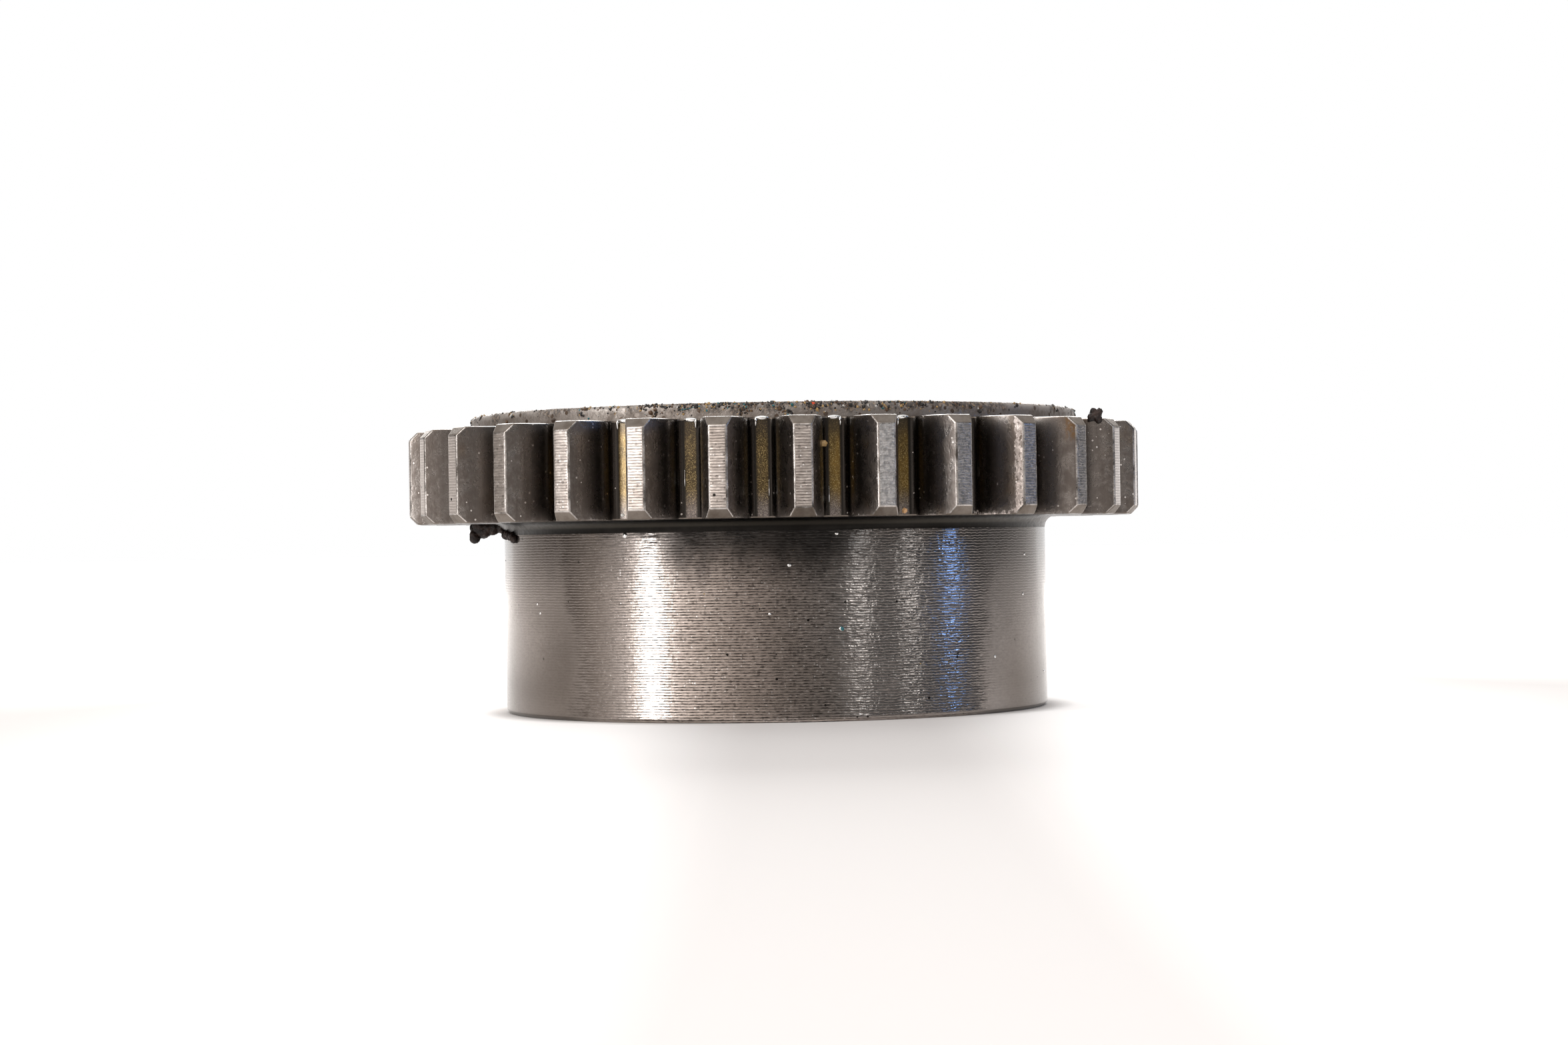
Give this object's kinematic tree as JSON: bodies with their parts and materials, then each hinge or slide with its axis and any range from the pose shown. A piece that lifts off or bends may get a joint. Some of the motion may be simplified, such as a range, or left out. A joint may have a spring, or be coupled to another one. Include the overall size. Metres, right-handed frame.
{
  "type": "crankshaft gear",
  "caption": "Straight-toothed spur gear with a long plain hub below and a low boss above, turned from one piece of steel, with a keyed bore for a crankshaft.",
  "frame": {"origin": "on the gear's axis, at the end of the hub that it stands on", "axes": "+Z along the axis from the hub to the teeth, +Y through the keyway and the tooth in line with it"},
  "size_m": [0.0638, 0.064, 0.0258],
  "materials": {
    "turned_steel": "turned and hobbed steel with fine feed lines, oily dark flanks and grit on the boss"
  },
  "bodies": {
    "root": {"crankshaft_gear": "turned_steel"}
  },
  "joints": []
}
